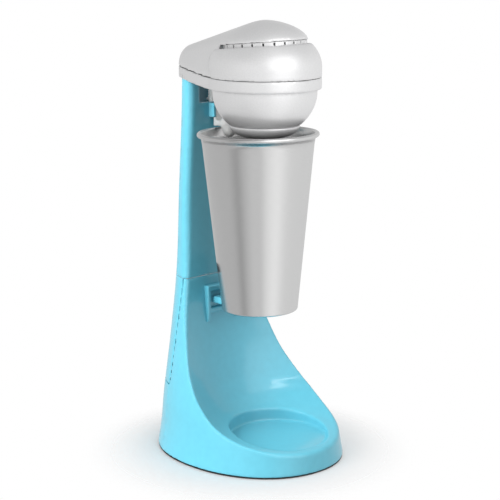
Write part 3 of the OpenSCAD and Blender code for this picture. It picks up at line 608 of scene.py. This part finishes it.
def make_head():
    h = 1.25
    X, Y, Z = grid((-48, -67, 328), (48, 76, 377), h)
    neck = neck_field(X, Y, Z)
    radial = np.sqrt(X**2 + (Y - SPINDLE_Y) ** 2)
    crown = true((np.sqrt((radial / BALL_R) ** 2 + (np.maximum(0, Z - 338) / 34) ** 2) - 1) * 40, h)
    vz = vent_z(Y, Z) + 0 * radial
    floor = SPLIT_Z + 0.25 + slope(Y) - Z + 0 * radial
    upper = both(crown, vz + 2.8, 1.4)
    upper = np.maximum(upper, -(crown + WALL))
    upper = np.maximum(upper, -(neck - 0.3))
    upper = np.maximum(upper, floor)
    a = skin("upper_ball", upper, (X, Y, Z), h, SILVER, "stand", snap=((2, SPLIT_Z + 0.25),))
    top = np.maximum(neck, -(neck + WALL))
    gap = both(Y - 0.3 + 0 * vz, vz, 0)
    top = np.maximum(top, -gap)
    top = np.maximum(top, floor)
    b = skin("top_shell", top, (X, Y, Z), h, SILVER, "stand")
    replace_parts(a, "upper_housing")
    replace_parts(b, "top_cover")

    X, Y, Z = grid((-48, -67, 289), (48, 76, 338), h)
    radial = np.sqrt(X**2 + (Y - SPINDLE_Y) ** 2)
    bowl = true((np.sqrt((radial / (BALL_R - 3.7)) ** 2 + (np.minimum(0, Z - 318) / 38.5) ** 2) - 1) * 40, h)
    plan = np.minimum(radial - BALL_R, in_polygon(X[:, :, 0], Y[:, :, 0], NECK)[:, :, None])
    low, high = BAND_Z + slope(Y) - Z, Z - (SPLIT_Z - 0.25) - slope(Y)
    band = both(both(plan + 0 * Z, low + 0 * plan, 1.2), high + 0 * plan, 0.3)
    ball = both(both(bowl, 289.7 - Z + 0 * bowl, 1.2), Z - 322 + 0 * bowl, 0)
    solid = either(band, ball, 0.6)
    hollow_band = np.maximum(plan + WALL, low + WALL)
    hollow_bowl = np.maximum(bowl + WALL, 292.2 - Z)
    shell = np.maximum(solid, -np.minimum(hollow_band, hollow_bowl))
    shell = np.maximum(shell, -np.maximum(radial - 11, Z - 300))
    at = np.full((1, 1, 1), 322.0)
    flat = np.concatenate([at, at + h, at + 2 * h], 2)
    stem = body_field(X, Y, flat, h, 0.4, 7.0)[:, :, 1:2]
    shell = np.maximum(shell, -np.maximum(stem + 0 * Z, np.abs(Z - 323) - 5))
    c = skin("lower_ball", shell, (X, Y, Z), h, SILVER, "stand")
    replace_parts(c, "lower_housing")


def make_vents():
    h = 0.55
    X, Y, Z = grid((-38, -56.5, 345), (38, 1, 366), h)
    dy, dz = Y - SPINDLE_Y, Z - VENT_Z
    ly = math.cos(TILT) * dy - math.sin(TILT) * dz
    lz = math.sin(TILT) * dy + math.cos(TILT) * dz + 0 * X
    radial = np.sqrt(X**2 + ly**2)
    ring = np.maximum(abs(radial - 34.3) - 0.9, abs(lz + 2.75) - 2.75)
    flange = np.maximum(abs(radial - 34.8) - 1.4, abs(lz + 5.55) - 0.95)
    f = np.minimum(ring, flange)
    angle = np.arctan2(ly, X)
    step = 2 * math.pi / 24
    near = (np.round(angle / step) * step - angle) * radial
    slot = both(abs(near) - 0.65, abs(lz + 1.9) - 1.3, 0.5)
    f = np.maximum(f, -slot)
    f = np.maximum(f, Y + 0 * f)
    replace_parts(skin("vent_slots", f, (X, Y, Z), h, SILVER, "stand"), "vent_ring")


def make_collar():
    turns = (math.pi / 2 * i / 24 for i in range(24, -1, -1))
    arc = [(10 + 19.6 * math.cos(a), 289.0 - 10 * math.sin(a)) for a in turns]
    profile = [(5.5, 284.0), (5.5, 280.0), (6.2, 279.2), (8.5, 279.0)] + arc
    profile += [(29.4, 289.5), (29.0, 289.65), (6.0, 289.65)]
    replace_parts(lathe("spindle_guard", profile, (0, SPINDLE_Y, 0), SILVER, "stand", 144), "spindle_collar")


# ---------------------------------------------------------------- cup, lever, bracket
def make_cup():
    low_r, high, rim_r, bead = 32.8, 152.0, 50, 2
    top_r = rim_r - bead + 0.48
    wall, fillet = 0.8, 2.2
    corner = low_r - fillet
    profile = [(0, 0.6), (12, 0.6), (24, 0.55), (28.0, 0.2), (corner, 0)]
    for i in range(1, 11):
        a = math.radians(-90 + 9 * i)
        profile.append((corner + fillet * math.cos(a), fillet + fillet * math.sin(a)))
    for i in range(1, 25):
        z = fillet + (high - bead - fillet) * i / 25
        profile.append((low_r + (top_r - low_r) * (z - fillet) / (high - fillet), z))
    for i in range(23):
        a = math.radians(-125 + 305 * i / 22)
        profile.append((rim_r + bead * math.cos(a), high + bead * math.sin(a)))
    inner = top_r - wall
    for i in range(0, 25):
        z = 151 - (151 - fillet) * i / 24
        profile.append((low_r - wall + (inner - low_r + wall) * (z - fillet) / (high - fillet), z))
    for i in range(1, 11):
        a = math.radians(-9 * i)
        profile.append((corner + (fillet - wall) * math.cos(a), fillet + (fillet - wall) * math.sin(a)))
    profile += [(24, 1.2), (12, 1.4), (0, 1.4)]
    tilt = -0.92
    lean = math.radians(tilt)
    foot = Vector((0, -10.5, 280.8)) + Matrix.Rotation(lean, 3, "X") @ Vector((0, 0, -high))
    obj = lathe("steel_cup", profile, tuple(foot), CUP, "cup", 192, tilt=tilt, sharp=0)
    # The brush lines are worked out from the object's own axis, so the object sits on the cup's axis.
    place = Matrix.Translation(foot * MM) @ Matrix.Rotation(lean, 4, "X")
    obj.data.transform(place.inverted())
    obj.matrix_world = place @ obj.matrix_world
    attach(obj, "cup")
    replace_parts(obj, "mixing_cup")


def make_lever():
    h = 0.55
    X, Y, Z = grid((-8, 20, 272.5), (8, 53.5, 319), h)
    half = 4.9
    f = cuboid(X, Y, Z, (-half, 38.9, 292.7), (half, 48.5, 302), 0.6)
    for lo, hi in (((-half, 44.5, 301), (half, 48.5, 318.6)), ((-3, 48, 305), (3, 53.5, 307)),
                   ((-half, 38.9, 283.3), (half, 41.9, 294))):
        f = np.minimum(f, cuboid(X, Y, Z, lo, hi, 0.6))
    f = np.minimum(f, cuboid(X, Y, Z, (-half, 33, 283.7), (half, 41.9, 288.6), 0.8))
    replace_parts(skin("cup_sensing_lever", f, (X, Y, Z), h, WHITE, "lever"), "cup_lever")
    X, Y, Z = grid((-7, 20, 273), (7, 39, 292), h)
    upper = np.sqrt(X**2 + (Y - 29.5) ** 2 + (Z - 286) ** 2) - 6.3
    lower = np.sqrt(X**2 + (Y - 26.5) ** 2 + (Z - 280) ** 2) - 5.5
    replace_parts(skin("lever_knob", either(upper, lower, 2.0), (X, Y, Z), h, WHITE, "lever"), "lever_nub")


def make_spring():
    """Coil round the lever's post, riding on the lever as one rigid piece."""
    h = 0.25
    y, low, high, pitch, coil_r, wire_r = 51.2, 307.4, 316.3, 2.2, 1.8, 0.4
    X, Y, Z = grid((-3, 48.4, 306.2), (3, 54, 317.2), h)
    radial = np.sqrt(X**2 + (Y - y) ** 2) - coil_r
    turn = np.arctan2(Y - y, X) / (2 * math.pi) * pitch
    level = Z - low - turn
    near = level - pitch * np.round(level / pitch)
    wire = np.sqrt(radial**2 + near**2) - wire_r
    ends = np.minimum(np.sqrt(radial**2 + (Z - low) ** 2), np.sqrt(radial**2 + (Z - high) ** 2)) - wire_r
    f = np.minimum(np.maximum(wire, np.maximum(low - Z, Z - high) + 0 * wire), ends)
    spring = skin("return_spring", f, (X, Y, Z), h, STEEL, "lever")
    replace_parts(spring, "lever_spring")
    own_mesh(spring)


def make_guide():
    h = 0.6
    X, Y, Z = grid((-8, 37.5, 291), (8, 50.5, 303.5), h)
    f = cuboid(X, Y, Z, (-8, 37.5, 291), (8, 50.5, 303.5), 1.0)
    f = np.maximum(f, -cuboid(X, Y, Z, (-5.2, 38.6, 292.5), (5.2, 48.8, 305), 0.3))
    f = np.maximum(f, -cuboid(X, Y, Z, (-5.2, 36.0, 289), (5.2, 42.4, 305), 0.3))
    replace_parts(skin("lever_housing", f, (X, Y, Z), h, AQUA, "stand"), "lever_guide")


def make_rest():
    h = 0.8
    X, Y, Z = grid((-22, 17, 105), (22, 42, 143), h)
    half, arm, front_y, wall_y = 18, 4, 35, 46
    f = cuboid(X, Y, Z, (-half, front_y, 118), (half, 44, 123), 1.0)
    f = np.minimum(f, cuboid(X, Y, Z, (-half, front_y, 138), (half, 44, 143), 1.0))
    for x in (-half, half - arm):
        leg = cuboid(X, Y, Z, (x, front_y, 100), (x + arm, wall_y, 143), 1.0)
        front = front_y + 0.6 * np.clip((118 - Z) / 8, 0, 1) - Y
        f = np.minimum(f, np.maximum(leg, front + 0 * leg))
    f = np.minimum(f, cuboid(X, Y, Z, (-half, 38.5, 118), (half, wall_y, 143), 0.5))
    f = np.minimum(f, cuboid(X, Y, Z, (-11, 18, 127), (11, 40, 133), 1.0))
    cone = np.sqrt(X**2 + (Y + 10.5) ** 2) - (34.0 + 4.2 * (Z - 117) / 27)
    f = both(f, -cone + 0 * f, 0.6)
    inside = body_field(X, Y, Z, h)
    f = np.maximum(f, -(inside + 1.2))
    f = np.maximum(f, 110.5 - Z)
    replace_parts(skin("cup_bracket", f, (X, Y, Z), h, AQUA, "stand"), "cup_rest")


# ---------------------------------------------------------------- build
make_camera()
make_world()
make_base()
make_column()
make_head()
make_vents()
make_collar()
make_cup()
make_lever()
make_spring()
make_guide()
make_rest()

shown = {s["node"]: s["material_slot"] for s in frame["record"]["subparts"]}
for name, obj in frame["nodes"].items():
    obj.data.materials.clear()
    obj.data.materials.append(SLOT_LOOK[shown[name]])

# Pale floor that fades into the white background away from the base.
floor_mat = material("floor", (0.86, 0.86, 0.86), 0.6, scale=(3, 3, 3), vary=0.01, bump=0.0)
tree = floor_mat.node_tree
shader = tree.nodes["Principled BSDF"]
shader.inputs["Emission Color"].default_value = (1, 1, 1, 1)
shader.inputs["Emission Strength"].default_value = 0.13
where, reach, fade, clear, blend = (tree.nodes.new("ShaderNode" + k) for k in (
    "TexCoord", "VectorMath", "MapRange", "BsdfTransparent", "MixShader"))
reach.operation = "LENGTH"
fade.interpolation_type = "SMOOTHSTEP"
fade.inputs["From Min"].default_value, fade.inputs["From Max"].default_value = 0.070, 0.15
tree.links.new(where.outputs["Object"], reach.inputs[0])
tree.links.new(reach.outputs["Value"], fade.inputs[0])
tree.links.new(fade.outputs[0], blend.inputs[0])
tree.links.new(shader.outputs[0], blend.inputs[1])
tree.links.new(clear.outputs[0], blend.inputs[2])
tree.links.new(blend.outputs[0], tree.nodes["Material Output"].inputs["Surface"])
bm = bmesh.new()
bmesh.ops.create_grid(bm, x_segments=8, y_segments=8, size=0.3)
mesh = bpy.data.meshes.new("floor")
bm.to_mesh(mesh)
bm.free()
mesh.materials.append(floor_mat)
floor = bpy.data.objects.new("floor", mesh)
bpy.context.scene.collection.objects.link(floor)

# The cup mirrors the studio, not the column or the CAD nodes. Three lamps light only the aqua pieces.
stand_only = bpy.data.collections.new("stand_only")
for obj in frame["nodes"].values():
    obj.visible_glossy = False
for obj in bpy.data.objects:
    if obj.type == "MESH" and obj.data.materials and obj.data.materials[0] == AQUA:
        obj.visible_glossy = not obj.name.startswith("column")
        stand_only.objects.link(obj)
softbox("key_front", (-0.1, -1.5, 0.95), (0, 0, 0.2), (1.7, 1.4), 8.2)
softbox("fill_left", (-1.5, -0.1, 0.5), (0, 0, 0.15), (0.9, 1.3), 12, glossy=False)
softbox("overhead", (0.2, -0.2, 1.6), (0, 0, 0.2), (1.0, 1.0), 1, glossy=False)
softbox("stand_side", (-1.2, 0.2, 0.9), (0, 0, 0.25), (0.8, 1.2), 32, glossy=False, only=stand_only)
softbox("stand_top", (0.5, -0.5, 1.5), (0, 0, 0.1), (1.0, 1.0), 8, glossy=False, only=stand_only)
edge = softbox("stand_edge", (-0.9, -0.9, 1.7), (0, 0, 0.15), (1.6, 0.1), 5, only=stand_only)
edge.visible_diffuse = False
bpy.context.scene.view_settings.view_transform = "Standard"
